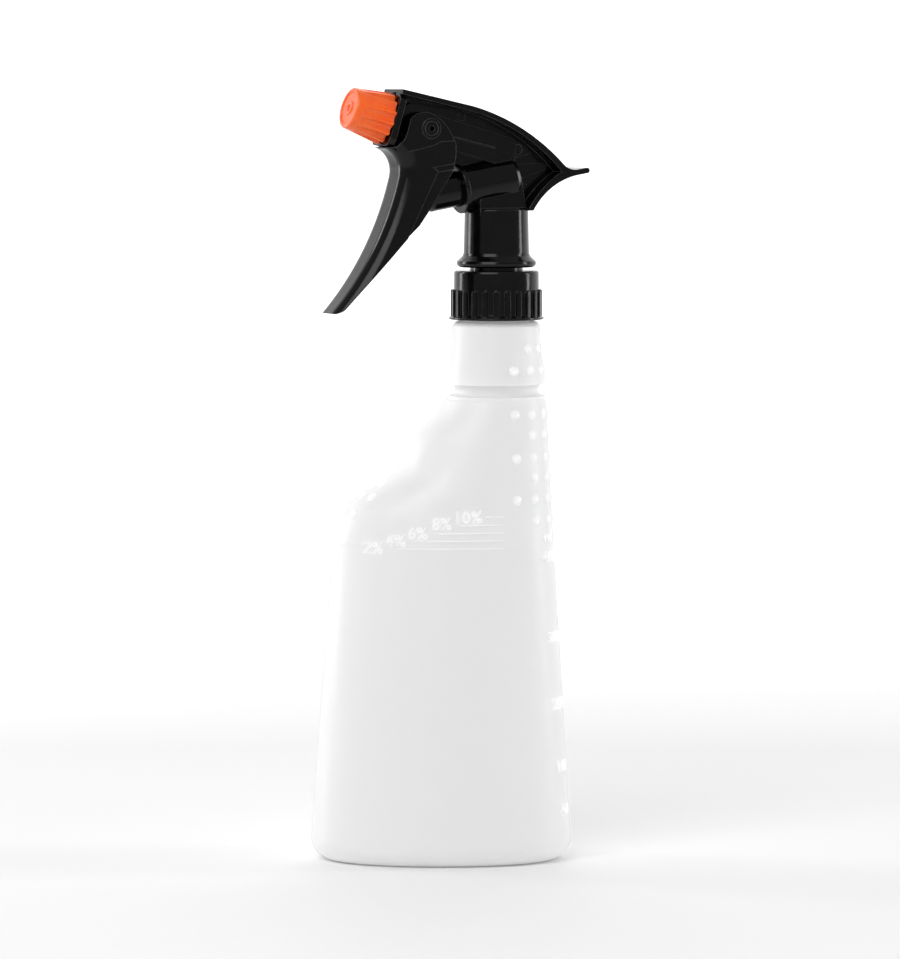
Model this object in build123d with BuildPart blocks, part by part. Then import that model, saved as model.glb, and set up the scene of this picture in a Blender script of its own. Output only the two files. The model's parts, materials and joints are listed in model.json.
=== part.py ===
from build123d import *
import os
from math import cos, pi, radians, sin

# Trigger spray bottle, in millimetres. +Z is up and the bottle's high shoulder is towards -X. The
# origin is on the ground under the middle of the outline. Each piece is drawn with the neck axis
# at y = 0 and the head pointing along -X, and save() turns the head and moves all to the origin.
# Side-view points are (x from the neck axis, height). Points of a turned outline are
# (distance along its axis, radius).

os.makedirs("parts", exist_ok=True)

# Driving dimensions
NECK_X = 16.6  # the neck axis stands this far behind the middle of the outline
HEAD_TURN = 25.0  # degrees, the nozzle points this far round from -X towards -Y
HEAD_REACH = 1.8  # the turned head takes the middle of the outline this far towards -Y
WALL = 1.5  # bottle wall
NECK_TOP = 207.9  # sealing land of the bottle
RISER_X = 3.0  # riser and dip tube stand this far behind the neck axis
SPOUT_TILT = 16.0  # degrees, the spout rises towards the nozzle
PUMP_TILT = 10.0  # degrees, the pump cylinder rises towards the back
PLATE_X, PLATE_Z = -42.0, 265.9  # where the spout axis crosses the front plate
PUMP_X, PUMP_Z = -15.8, 241.4  # middle of the pump cylinder's open end
PIVOT_X, PIVOT_Z = -29.7, 263.0  # trigger pivot
PITCH = 4.23  # collar thread, six turns an inch
NOZZLE_PITCH = 2.5
NOZZLE_TURNS = 1.75
RUNNING = 0.08  # radial clearance of a running fit
LIP_FIT = 0.02  # radial clearance of a piston lip in its bore
GAP = 0.3  # clearance between other moving faces


def side_plane(y=0.0):
    """The side view at a given Y: its x runs along +X from the neck axis, its y up."""
    return Plane(origin=(NECK_X, y, 0), x_dir=(1, 0, 0), z_dir=(0, -1, 0))


def axial_plane(x, z, direction):
    """A side-view plane whose x runs along an axis of revolution."""
    return Plane(origin=(NECK_X + x, 0, z), x_dir=direction, z_dir=(0, -1, 0))


SIDE = side_plane()
NECK = axial_plane(0, 0, (0, 0, 1))
RISER = axial_plane(RISER_X, 0, (0, 0, 1))
SPOUT = axial_plane(PLATE_X, PLATE_Z, (-cos(radians(SPOUT_TILT)), 0, sin(radians(SPOUT_TILT))))
PUMP = axial_plane(PUMP_X, PUMP_Z, (cos(radians(PUMP_TILT)), 0, sin(radians(PUMP_TILT))))


def along(plane, distance):
    """The plane square to an axis, at a distance along it, with its z along the axis."""
    return Plane(origin=plane.origin + plane.x_dir * distance, x_dir=(0, 1, 0), z_dir=plane.x_dir)


def turned(plane, outline):
    """A solid of revolution about a plane's x axis."""
    with BuildPart() as piece:
        with BuildSketch(plane):
            with BuildLine():
                Polyline(*outline, close=True)
            make_face()
        revolve(axis=Axis(plane.origin, plane.x_dir))
    return piece.part


def rod(plane, start, end, radius):
    """A plain cylinder about a plane's x axis."""
    return turned(plane, ((start, 0), (end, 0), (end, radius), (start, radius)))


def slab(outline, half_width, y=0.0):
    """A side-view polygon thickened both ways about a given Y."""
    with BuildPart() as piece:
        with BuildSketch(side_plane(y)):
            with BuildLine():
                Polyline(*outline, close=True)
            make_face()
        extrude(amount=half_width, both=True)
    return piece.part


def thread(root, crest, pitch, turns, root_width, crest_width):
    """A helical ridge about Z that starts at z = 0, standing from its root to its crest radius."""
    overlap = 0.25 if crest > root else -0.25
    with BuildPart() as ridge:
        with BuildLine() as path:
            Helix(pitch=pitch, height=pitch * turns, radius=root)
        start = path.line @ 0
        with BuildSketch(Plane(origin=start, x_dir=(1, 0, 0), z_dir=path.line % 0)):
            with BuildLine():
                Polyline(
                    (-overlap, -root_width / 2),
                    (0, -root_width / 2),
                    (crest - root, -crest_width / 2),
                    (crest - root, crest_width / 2),
                    (0, root_width / 2),
                    (-overlap, root_width / 2),
                    close=True,
                )
            make_face()
        sweep(path=path.line, is_frenet=True)
    return ridge.part


def coil(radius, wire, turns, length):
    """A helical wire spring about Z."""
    with BuildPart() as spring:
        with BuildLine() as path:
            Helix(pitch=length / turns, height=length, radius=radius)
        with BuildSketch(Plane(origin=path.line @ 0, z_dir=path.line % 0)):
            Circle(wire / 2)
        sweep(path=path.line, is_frenet=True)
    return spring.part


def save(piece, label, turn=0.0):
    """Turn a finished piece about the neck axis, centre it, name it and write it."""
    finished = Pos(0, HEAD_REACH, 0) * piece.part.rotate(Axis((NECK_X, 0, 0), (0, 0, 1)), turn)
    finished.label = label
    export_step(finished, f"parts/{label}.step")


# Bottle: sections of the body as height, front, back, half width and squareness
BASE_CORNER = 8.0  # radius between the base and the sides
SIDE_SECTIONS = (
    (BASE_CORNER, -66.8, 27.1, 29.8, 2.2),
    (114, -58.9, 20.6, 26.4, 2.2),
)
# the shoulder's front edge at equal steps of height, from the sides up to the waist
SHOULDER_FRONT = (
    *(-58.9, -58.3, -57.1, -55.4, -51.4, -44.8, -38.7),
    *(-35.1, -33.0, -31.6, -28.8, -24.3, -20.6, -18.4),
)
SHOULDER_STEP = 4.0
SHOULDER_FULLNESS = 1.3  # above 1, the shoulder keeps its width before it narrows to the neck
SHOULDER_BOTTOM = SIDE_SECTIONS[-1][0]
CORNER_STEPS = 6
SECTION_POINTS = 24
NECK_START = SHOULDER_BOTTOM + SHOULDER_STEP * (len(SHOULDER_FRONT) - 1)
WAIST_TOP_RADIUS = 17.9  # where the body's last section turns into the neck
WAIST_RADIUS = 17.75
BORE = 10.8
FLOOR = 2.2  # thickness of the bottle's floor over the standing ring
PUSH_UP = 1.4  # depth of the hollow under the floor
PUSH_UP_HALF = (35.0, 17.5)
PUSH_UP_TAPER = 30.0
BASE_MIDDLE = (SIDE_SECTIONS[0][1] + SIDE_SECTIONS[0][2]) / 2
THREAD_ROOT = 12.5
THREAD_CREST = 13.7
THREAD_START = 198.2
THREAD_TURNS = 1.5
BOTTLE_THREAD = (2.3, 1.1)  # widths of the ridge at its root and its crest
COLLAR_THREAD = (1.6, 0.9)
COLLAR_THREAD_DEPTH = 1.1


def body_section(height, front, back, half_width, squareness, inset=0.0):
    """One horizontal section of the bottle: a superellipse, drawn in by the inset."""
    half_depth = (back - front) / 2 - inset
    middle = NECK_X + (back + front) / 2
    power = 2 / squareness
    points = []
    for step in range(SECTION_POINTS):
        angle = 2 * pi * step / SECTION_POINTS
        reach = abs(cos(angle)) ** power * (1 if cos(angle) > 0 else -1)
        width = abs(sin(angle)) ** power * (1 if sin(angle) > 0 else -1)
        points.append((middle + half_depth * reach, (half_width - inset) * width))
    with BuildSketch(Plane.XY.offset(height)) as section:
        with BuildLine():
            Spline(*points, periodic=True)
        make_face()
    return section.sketch.face()


def shoulder_section(step, inset):
    """A section of the shoulder, on its way from the sides' oval to the neck's circle."""
    share = step / (len(SHOULDER_FRONT) - 1)
    _, _, side_back, side_half, side_squareness = SIDE_SECTIONS[-1]
    back = side_back + (WAIST_TOP_RADIUS - side_back) * share
    half_width = side_half + (WAIST_TOP_RADIUS - side_half) * share**SHOULDER_FULLNESS
    squareness = side_squareness + (2 - side_squareness) * share
    height = SHOULDER_BOTTOM + SHOULDER_STEP * step
    return body_section(height, SHOULDER_FRONT[step], back, half_width, squareness, inset)


def neck(inset, top, radius):
    """The turned neck from the body to a given top, its waist drawn in by the inset."""
    waist = WAIST_RADIUS - inset
    with BuildPart() as piece:
        with BuildSketch(NECK):
            with BuildLine():
                Polyline((NECK_START, 0), (NECK_START, waist), (167.4, waist - 0.05))
                ThreePointArc((167.4, waist - 0.05), (169.4, waist - 2.9), (171.6, waist - 0.2))
                Line((171.6, waist - 0.2), (173.5, waist - 0.25))
                Spline(
                    (173.5, waist - 0.25),
                    (177.7, waist - 0.6),
                    (181.6, waist - 1.3),
                    (186.5, waist - 1.8),
                    tangents=((1, 0), (1, 0)),
                )
                Polyline(
                    (186.5, waist - 1.8),
                    (192.4 - inset, waist - 1.85),
                    (193.8 - inset, waist - 3.1),
                    (194.4 - inset, radius),
                    (top, radius),
                    (top, 0),
                    (NECK_START, 0),
                )
            make_face()
        revolve(axis=Axis(NECK.origin, NECK.x_dir))
    return piece.part


def body(inset, floor):
    """The bottle's body up to the waist, drawn in by the inset and cut off at the floor."""
    corner = BASE_CORNER - floor
    rounded = []
    for step in range(CORNER_STEPS):
        angle = radians(90 * step / CORNER_STEPS)
        height = BASE_CORNER - corner * cos(angle)
        rounded.append(body_section(height, *SIDE_SECTIONS[0][1:], inset + corner * (1 - sin(angle))))
    with BuildPart() as piece:
        loft(rounded + [body_section(*SIDE_SECTIONS[0], inset)])
        loft([body_section(*row, inset) for row in SIDE_SECTIONS])
        loft([shoulder_section(step, inset) for step in range(len(SHOULDER_FRONT))])
    return piece.part


with BuildPart() as cavity:
    add(body(WALL, FLOOR))
    add(neck(WALL, NECK_TOP + 1, BORE))

with BuildPart() as bottle:
    add(body(0, 0))
    add(neck(0, NECK_TOP, THREAD_ROOT))
    with BuildSketch(Plane.XY):
        with Locations((NECK_X + BASE_MIDDLE, 0)):
            Ellipse(*PUSH_UP_HALF)
    extrude(amount=PUSH_UP, taper=PUSH_UP_TAPER, mode=Mode.SUBTRACT)
    add(cavity.part, mode=Mode.SUBTRACT)
    with Locations(Plane(origin=(NECK_X, 0, THREAD_START))):
        add(thread(THREAD_ROOT, THREAD_CREST, PITCH, THREAD_TURNS, *BOTTLE_THREAD))
save(bottle, "bottle")

# Screw collar: captive on the head, with round-topped ribs on its lower band
COLLAR_BOTTOM = 194.7
COLLAR_TOP = 212.2
COLLAR_WEB = 1.5
COLLAR_BORE = 14.1
COLLAR_HOLE = 9.7
COLLAR_RADIUS = 15.3
FLANGE_RADIUS = 17.1
FLANGE_HEIGHT = 1.0
RIBS = 24
RIB_WIDTH = 2.1
RIB_RADIUS = 16.35
RIB_TOP = 205.4
RIB_EDGE = 0.5

with BuildPart() as rib:
    with BuildSketch(side_plane(-RIB_RADIUS)):
        with Locations((0, (COLLAR_BOTTOM + RIB_TOP) / 2)):
            SlotOverall(RIB_TOP - COLLAR_BOTTOM, RIB_WIDTH, rotation=90)
    extrude(amount=COLLAR_BORE - RIB_RADIUS)
    fillet(rib.faces().sort_by(Axis.Y)[0].edges(), radius=RIB_EDGE)

with BuildPart() as screw_collar:
    add(
        turned(
            NECK,
            (
                (COLLAR_BOTTOM, COLLAR_BORE),
                (COLLAR_BOTTOM, FLANGE_RADIUS - 0.3),
                (COLLAR_BOTTOM + 0.3, FLANGE_RADIUS),
                (COLLAR_BOTTOM + FLANGE_HEIGHT - 0.2, FLANGE_RADIUS),
                (COLLAR_BOTTOM + FLANGE_HEIGHT + 0.3, COLLAR_RADIUS + 0.6),
                (COLLAR_BOTTOM + FLANGE_HEIGHT + 0.8, COLLAR_RADIUS + 0.1),
                (COLLAR_TOP - 0.8, COLLAR_RADIUS - 0.05),
                (COLLAR_TOP - 0.2, COLLAR_RADIUS - 0.35),
                (COLLAR_TOP, COLLAR_RADIUS - 0.9),
                (COLLAR_TOP, COLLAR_HOLE),
                (COLLAR_TOP - COLLAR_WEB, COLLAR_HOLE),
                (COLLAR_TOP - COLLAR_WEB, COLLAR_BORE),
            ),
        )
    )
    with Locations(Location((NECK_X, 0, 0))):
        with PolarLocations(0, RIBS):
            add(rib.part.moved(Location((-NECK_X, 0, 0))))
    with Locations(Plane(origin=(NECK_X, 0, THREAD_START - PITCH / 2))):
        crest = COLLAR_BORE - COLLAR_THREAD_DEPTH
        add(thread(COLLAR_BORE, crest, PITCH, THREAD_TURNS, *COLLAR_THREAD))
save(screw_collar, "screw_collar")

# Neck gasket, on the bottle's sealing land
GASKET_BOTTOM = NECK_TOP + 0.05
GASKET_TOP = GASKET_BOTTOM + 1.0
GASKET_HOLE = 8.6
GASKET_RADIUS = 12.4

with BuildPart() as neck_gasket:
    add(
        turned(
            NECK,
            (
                (GASKET_BOTTOM, GASKET_HOLE),
                (GASKET_BOTTOM, GASKET_RADIUS),
                (GASKET_TOP, GASKET_RADIUS),
                (GASKET_TOP, GASKET_HOLE),
            ),
        )
    )
save(neck_gasket, "neck_gasket")

# Tube adapter: plug in the head's neck, flange under the collar's web, seat of the inlet ball
FLANGE_BOTTOM = GASKET_TOP + 0.05
FLANGE_TOP = COLLAR_TOP - COLLAR_WEB - 0.2
HEAD_BORE = 8.0
RISER_BORE = 2.5
RISER_WALL = 4.2
RISER_BOTTOM = 220.2
SEAT = 226.0
SOCKET_TOP = 214.0
SOCKET_BOTTOM = 203.0
CHANNEL = 1.2
PLUG_TOP = 217.0
PLUG_BORE = 6.8
TUBE_RADIUS = 3.0

with BuildPart() as tube_adapter:
    add(
        turned(
            NECK,
            (
                (FLANGE_BOTTOM, 0),
                (FLANGE_BOTTOM, 11.6),
                (FLANGE_TOP, 12.0),
                (FLANGE_TOP, HEAD_BORE),
                (PLUG_TOP - 0.6, HEAD_BORE),
                (PLUG_TOP, HEAD_BORE - 0.6),
                (PLUG_TOP, PLUG_BORE),
                (FLANGE_TOP, PLUG_BORE),
                (FLANGE_TOP, 0),
            ),
        )
    )
    add(
        turned(
            RISER,
            (
                (SOCKET_BOTTOM, 0),
                (SOCKET_BOTTOM, RISER_WALL),
                (RISER_BOTTOM, RISER_WALL),
                (RISER_BOTTOM, RISER_BORE),
                (SEAT, RISER_BORE),
                (SEAT, 0),
            ),
        )
    )
    add(rod(RISER, SOCKET_BOTTOM - 1, SOCKET_TOP, TUBE_RADIUS), mode=Mode.SUBTRACT)
    add(rod(RISER, SOCKET_TOP - 1, SEAT + 1, CHANNEL), mode=Mode.SUBTRACT)
save(tube_adapter, "tube_adapter", HEAD_TURN)

# Inlet ball, just clear of its seat
BALL_RADIUS = 2.0
BALL_Z = SEAT + 1.66

with BuildPart() as inlet_ball:
    with Locations((NECK_X + RISER_X, 0, BALL_Z)):
        Sphere(BALL_RADIUS)
save(inlet_ball, "inlet_ball", HEAD_TURN)

# Dip tube and its strainer
TUBE_BOTTOM = 13.0
TUBE_BORE = 2.1
STRAINER_BOTTOM = 5.0
STRAINER_RADIUS = 4.0
SLOT_HEIGHTS = (2.4, 4.6, 6.8)  # above the strainer's bottom
SLOT = (1.2, 1.0)

with BuildPart() as dip_tube:
    add(
        turned(
            RISER,
            (
                (TUBE_BOTTOM, TUBE_BORE),
                (TUBE_BOTTOM, TUBE_RADIUS),
                (SOCKET_TOP, TUBE_RADIUS),
                (SOCKET_TOP, TUBE_BORE),
            ),
        )
    )
save(dip_tube, "dip_tube", HEAD_TURN)

with BuildPart() as strainer:
    add(
        turned(
            RISER,
            (
                (STRAINER_BOTTOM, 0),
                (STRAINER_BOTTOM, STRAINER_RADIUS - 0.8),
                (STRAINER_BOTTOM + 0.8, STRAINER_RADIUS),
                (TUBE_BOTTOM + 4, STRAINER_RADIUS),
                (TUBE_BOTTOM + 4.6, STRAINER_RADIUS - 0.4),
                (TUBE_BOTTOM + 4.6, TUBE_RADIUS),
                (TUBE_BOTTOM, TUBE_RADIUS),
                (TUBE_BOTTOM, TUBE_BORE),
                (STRAINER_BOTTOM + 1.2, TUBE_BORE),
                (STRAINER_BOTTOM + 1.2, 0),
            ),
        )
    )
    for height in SLOT_HEIGHTS:
        for turn in (0, 60, 120):
            place = (NECK_X + RISER_X, 0, STRAINER_BOTTOM + height)
            with Locations(Location(place, (90, 0, turn))):
                Box(*SLOT, 3 * STRAINER_RADIUS, mode=Mode.SUBTRACT)
save(strainer, "strainer", HEAD_TURN)

# Sprayer body: one moulding of neck, pump cylinder, spout housing, web, rim, tail and plate
BEAD_BOTTOM = 213.4
NECK_TUBE_TOP = 234.6
CYLINDER_RADIUS = 8.0
CYLINDER_BORE = 6.5
BORE_DEPTH = 13.7
CYLINDER_LENGTH = 23.0
CYLINDER_RING = 9.0
PLATE_THICKNESS = 2.4
PLATE_HEIGHT = 19.0
PLATE_WIDTH = 15.4
PLATE_CORNER = 3.0
SPIGOT_RADIUS = 5.0
SPIGOT_END = 12.4
VALVE_BORE = 3.1
VALVE_SEAT = -8.0  # along the spout axis, where the bore widens for the outlet valve
HOUSING_HALF = 4.4
PANEL_HALF = 3.0
WEB_HALF = 1.3
RIM_HALF = 8.0
STUB_RADIUS = 2.5
STUB_HOLE = 1.0
EAR_INSIDE = 7.6
EAR_OUTSIDE = 8.7
EAR_BOSS = 0.6  # height of the boss round the stub
RISER_STEP = 231.4  # where the riser's bore narrows above the inlet ball
RISER_PASSAGE = 1.7
RISER_END = 253.4
PORT_END = 19.1  # along the pump axis, where the cylinder's port meets the riser
PORT_RADIUS = 1.0
VENT_X = -6.0
VENT_RADIUS = 0.6
SPOUT_START = -46.8
SPOUT_PASSAGE = 1.3
PIN_MARKS = ((-15.1, 267.0, 1.5), (7.0, 255.4, 1.8))  # x, height and radius, sunk in the panel
MARK_DEPTH = 0.25
SPIGOT_THREAD_START = 5.0
SPIGOT_THREAD = (1.1, 0.5)
PANEL_OUTLINE = (
    (-38.5, 270.0),
    (-35.0, 272.1),
    (-19.6, 269.7),
    (-8.6, 266.1),
    (2.6, 260.6),
    (10.4, 256.1),
    (12.1, 253.9),
    (5.9, 252.4),
    (-12.0, 257.0),
)
CREASE_OUTLINE = ((-18.6, 259.7), (-18.6, 260.1), (-2.7, 256.2), (-2.7, 255.8))
RIB_OUTLINES = (
    ((5.0, 250.1), (16.4, 250.5), (18.2, 249.6), (18.0, 248.2), (8.2, 244.9), (5.0, 244.9)),
    ((6.0, 243.0), (11.2, 243.0), (7.4, 240.0), (6.0, 240.0)),
    ((-5.5, 234.0), (-5.5, 235.6), (5.5, 237.9), (5.7, 234.0)),
)

with BuildPart() as sprayer_body:
    # neck with its bead, and the block that ties it to the cylinder
    add(
        turned(
            NECK,
            (
                (FLANGE_TOP + 0.1, 0),
                (FLANGE_TOP + 0.1, 9.5),
                (BEAD_BOTTOM, 9.5),
                (BEAD_BOTTOM, 13.2),
                (BEAD_BOTTOM + 0.5, 14.0),
                (BEAD_BOTTOM + 1.3, 14.35),
                (BEAD_BOTTOM + 2.2, 14.1),
                (BEAD_BOTTOM + 3.0, 13.2),
                (BEAD_BOTTOM + 4.0, 12.2),
                (BEAD_BOTTOM + 5.0, 11.8),
                (NECK_TUBE_TOP - 0.8, 11.4),
                (NECK_TUBE_TOP, 10.8),
                (NECK_TUBE_TOP, 0),
            ),
        )
    )
    add(slab(((-9.5, 232), (9.0, 232), (6.8, 246), (-9.0, 243)), 6.5))
    # pump cylinder with a ring round its open end and a rounded closed end
    add(
        turned(
            PUMP,
            (
                (0, 0),
                (0, CYLINDER_RING - 0.3),
                (0.3, CYLINDER_RING),
                (1.5, CYLINDER_RING),
                (1.9, CYLINDER_RADIUS + 0.3),
                (1.9, CYLINDER_RADIUS),
                (CYLINDER_LENGTH - 2.0, CYLINDER_RADIUS),
                (CYLINDER_LENGTH - 0.6, CYLINDER_RADIUS - 0.6),
                (CYLINDER_LENGTH, CYLINDER_RADIUS - 2.0),
                (CYLINDER_LENGTH, 0),
            ),
        )
    )
    # rim over the top, down the back, with the tail where the two meet
    with BuildSketch(SIDE):
        with BuildLine():
            Line((-40.2, 276.9), (-13.0, 270.9))
            ThreePointArc((-13.0, 270.9), (5.7, 263.3), (23.4, 249.6))
            ThreePointArc((23.4, 249.6), (25.6, 248.4), (28.2, 248.1))
            Line((28.2, 248.1), (32.0, 248.7))
            ThreePointArc((32.0, 248.7), (33.3, 247.9), (32.3, 246.8))
            Line((32.3, 246.8), (28.2, 246.1))
            ThreePointArc((28.2, 246.1), (18.6, 242.0), (10.9, 233.6))
            Line((10.9, 233.6), (8.8, 233.6))
            ThreePointArc((8.8, 233.6), (15.2, 242.0), (22.2, 247.4))
            ThreePointArc((22.2, 247.4), (4.7, 261.7), (-13.4, 269.1))
            Line((-13.4, 269.1), (-40.6, 275.2))
            Line((-40.6, 275.2), (-40.2, 276.9))
        make_face()
    extrude(amount=RIM_HALF, both=True)
    # web inside the rim, with the raised panel and the small ribs
    with BuildSketch(SIDE):
        with BuildLine():
            Line((-13.4, 270.0), (-41.0, 276.0))
            Line((-41.0, 276.0), (-43.0, 266.0))
            Polyline((-43.0, 266.0), (-24.0, 258.0), (-22.5, 250.6), (-12.0, 249.0))
            Polyline((-12.0, 249.0), (-12.0, 244.0), (4.0, 234.0), (9.8, 234.0))
            ThreePointArc((9.8, 234.0), (16.0, 242.2), (23.0, 248.0))
            ThreePointArc((23.0, 248.0), (5.0, 262.4), (-13.4, 270.0))
        make_face()
    extrude(amount=WEB_HALF, both=True)
    add(slab(PANEL_OUTLINE, PANEL_HALF))
    for outline in RIB_OUTLINES:
        add(slab(outline, PANEL_HALF))
    # spout housing, with a rounded back corner, along the spout axis
    with BuildSketch(SPOUT):
        with BuildLine():
            FilletPolyline(
                (1.0, -6.4),
                (-47.8, -6.4),
                (-49.6, 2.0),
                (-44.0, 4.0),
                (1.0, 4.0),
                radius=(3.0, 1.0, 1.0),
            )
            Line((1.0, 4.0), (1.0, -6.4))
        make_face()
    extrude(amount=HOUSING_HALF, both=True)
    # front plate, spigot for the nozzle, stubs for the trigger
    with BuildSketch(along(SPOUT, -PLATE_THICKNESS / 2)):
        RectangleRounded(PLATE_WIDTH, PLATE_HEIGHT, PLATE_CORNER)
    extrude(amount=PLATE_THICKNESS)
    add(rod(SPOUT, 0, SPIGOT_END, SPIGOT_RADIUS))
    with Locations(along(SPOUT, SPIGOT_THREAD_START)):
        add(thread(SPIGOT_RADIUS, SPIGOT_RADIUS + 0.6, NOZZLE_PITCH, NOZZLE_TURNS, *SPIGOT_THREAD))
    with Locations(Location((NECK_X + PIVOT_X, 0, PIVOT_Z), (90, 0, 0))):
        Cylinder(STUB_RADIUS + 1.2, 2 * EAR_INSIDE - 2 * GAP)
        Cylinder(STUB_RADIUS, 2 * EAR_OUTSIDE + 2 * EAR_BOSS)
    # passages: neck, riser tube, cylinder, port, vent, spout and outlet valve bore
    add(rod(NECK, FLANGE_TOP - 1, NECK_TUBE_TOP - 3.4, HEAD_BORE), mode=Mode.SUBTRACT)
    add(rod(RISER, RISER_BOTTOM + 0.02, NECK_TUBE_TOP - 2, RISER_WALL))
    add(rod(RISER, RISER_BOTTOM - 1, RISER_STEP, RISER_BORE), mode=Mode.SUBTRACT)
    add(rod(RISER, RISER_STEP - 0.4, RISER_END, RISER_PASSAGE), mode=Mode.SUBTRACT)
    add(rod(PUMP, -1, BORE_DEPTH, CYLINDER_BORE), mode=Mode.SUBTRACT)
    add(rod(PUMP, BORE_DEPTH - 1, PORT_END, PORT_RADIUS), mode=Mode.SUBTRACT)
    vent = axial_plane(VENT_X, 0, (0, 0, 1))
    add(rod(vent, NECK_TUBE_TOP - 4.6, NECK_TUBE_TOP + 3.4, VENT_RADIUS), mode=Mode.SUBTRACT)
    add(rod(SPOUT, SPOUT_START, VALVE_SEAT + 1, SPOUT_PASSAGE), mode=Mode.SUBTRACT)
    add(rod(SPOUT, VALVE_SEAT, SPIGOT_END + 1, VALVE_BORE), mode=Mode.SUBTRACT)
    for side in (1, -1):
        with Locations(Location((NECK_X + PIVOT_X, side * EAR_OUTSIDE, PIVOT_Z), (90, 0, 0))):
            Cylinder(STUB_HOLE, 5, mode=Mode.SUBTRACT)
        for x, z, radius in PIN_MARKS:
            with Locations(Location((NECK_X + x, side * PANEL_HALF, z), (90, 0, 0))):
                Cylinder(radius, 2 * MARK_DEPTH, mode=Mode.SUBTRACT)
        add(slab(CREASE_OUTLINE, 0.25, side * HOUSING_HALF), mode=Mode.SUBTRACT)
save(sprayer_body, "sprayer_body", HEAD_TURN)

# Piston: hollow for the spring, with a groove at each end of its guided part for a lip ring
PISTON_FRONT = -12.0
PISTON_REAR = 5.8
PISTON_RADIUS = 6.2
SPRING_POCKET = 4.4
POCKET_END = -9.0
LIP_GROOVE = 5.4
FRONT_LIP = 1.2
REAR_LIP = 4.2
LIP_WIDTH = 1.2

with BuildPart() as piston:
    add(
        turned(
            PUMP,
            (
                (PISTON_FRONT, 0),
                (PISTON_FRONT, PISTON_RADIUS - 0.8),
                (PISTON_FRONT + 0.8, PISTON_RADIUS),
                (FRONT_LIP, PISTON_RADIUS),
                (FRONT_LIP, LIP_GROOVE),
                (FRONT_LIP + LIP_WIDTH, LIP_GROOVE),
                (FRONT_LIP + LIP_WIDTH, PISTON_RADIUS),
                (REAR_LIP, PISTON_RADIUS),
                (REAR_LIP, LIP_GROOVE),
                (REAR_LIP + LIP_WIDTH, LIP_GROOVE),
                (REAR_LIP + LIP_WIDTH, PISTON_RADIUS),
                (PISTON_REAR, PISTON_RADIUS),
                (PISTON_REAR, SPRING_POCKET),
                (POCKET_END, SPRING_POCKET),
                (POCKET_END, 0),
            ),
        )
    )
save(piston, "piston", HEAD_TURN)


def lip_ring(start):
    """A sealing ring in one of the piston's grooves, its lip running in the cylinder's bore."""
    edge = CYLINDER_BORE - LIP_FIT
    return turned(
        PUMP,
        (
            (start, LIP_GROOVE),
            (start, edge - 0.4),
            (start + LIP_WIDTH / 3, edge),
            (start + LIP_WIDTH * 2 / 3, edge),
            (start + LIP_WIDTH, edge - 0.4),
            (start + LIP_WIDTH, LIP_GROOVE),
        ),
    )


with BuildPart() as piston_front_seal:
    add(lip_ring(FRONT_LIP))
save(piston_front_seal, "piston_front_seal", HEAD_TURN)

with BuildPart() as piston_rear_seal:
    add(lip_ring(REAR_LIP))
save(piston_rear_seal, "piston_rear_seal", HEAD_TURN)

# Return spring, between the piston's pocket and the cylinder's end
RETURN_WIRE = 0.8
RETURN_RADIUS = 3.6
RETURN_TURNS = 9

with BuildPart() as return_spring:
    with Locations(along(PUMP, POCKET_END + RETURN_WIRE)):
        add(coil(RETURN_RADIUS, RETURN_WIRE, RETURN_TURNS, BORE_DEPTH - POCKET_END - 2 * RETURN_WIRE))
save(return_spring, "return_spring", HEAD_TURN)

# Outlet valve and its spring, behind the swirl core
VALVE_RADIUS = 2.7
VALVE_DISC_END = VALVE_SEAT + 1.2
CORE_START = 7.0

with BuildPart() as outlet_valve:
    add(
        turned(
            SPOUT,
            (
                (VALVE_SEAT + 0.05, 0),
                (VALVE_SEAT + 0.05, VALVE_RADIUS - 0.3),
                (VALVE_SEAT + 0.5, VALVE_RADIUS),
                (VALVE_DISC_END, VALVE_RADIUS),
                (VALVE_DISC_END, 1.2),
                (-1.4, 1.0),
                (-1.0, 0.6),
                (-1.0, 0),
            ),
        )
    )
save(outlet_valve, "outlet_valve", HEAD_TURN)

VALVE_WIRE = 0.4
VALVE_COIL_RADIUS = 1.9
VALVE_COIL_TURNS = 8

with BuildPart() as outlet_valve_spring:
    with Locations(along(SPOUT, VALVE_DISC_END + VALVE_WIRE)):
        length = CORE_START - VALVE_DISC_END - 2 * VALVE_WIRE
        add(coil(VALVE_COIL_RADIUS, VALVE_WIRE, VALVE_COIL_TURNS, length))
save(outlet_valve_spring, "outlet_valve_spring", HEAD_TURN)

# Swirl core, pressed into the spigot, with side channels and slots in its nose
CORE_END = 12.9
CORE_NOSE = 1.6
CORE_CHANNEL = (1.4, 0.9)

with BuildPart() as swirl_core:
    add(rod(SPOUT, CORE_START, CORE_END - 0.8, VALVE_BORE))
    add(rod(SPOUT, CORE_END - 0.9, CORE_END, CORE_NOSE))
    for turn in (0, 120, 240):
        with Locations(along(SPOUT, (CORE_START + CORE_END) / 2) * Location((0, 0, 0), (0, 0, turn))):
            with Locations((VALVE_BORE, 0, 0)):
                Box(*CORE_CHANNEL, CORE_END - CORE_START + 1, mode=Mode.SUBTRACT)
save(swirl_core, "swirl_core", HEAD_TURN)

# Nozzle cap: ribbed cone with a ringed face, screwed onto the spigot
NOZZLE_REAR = 1.75
NOZZLE_FRONT = 16.4
NOZZLE_REAR_RADIUS = 9.4
NOZZLE_FRONT_RADIUS = 7.4
NOZZLE_BORE = 6.0
NOZZLE_WALL_START = 14.6
FLUTES = 14
FLUTE_RADIUS = 1.8
ORIFICE = 0.4
NOZZLE_THREAD = (0.9, 0.5)

FLUTE_START = (NOZZLE_REAR_RADIUS + 0.35, 0, NOZZLE_REAR - 0.5)
FLUTE_RISE = (-0.4, 0, NOZZLE_FRONT - NOZZLE_REAR - 2.5)

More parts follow.
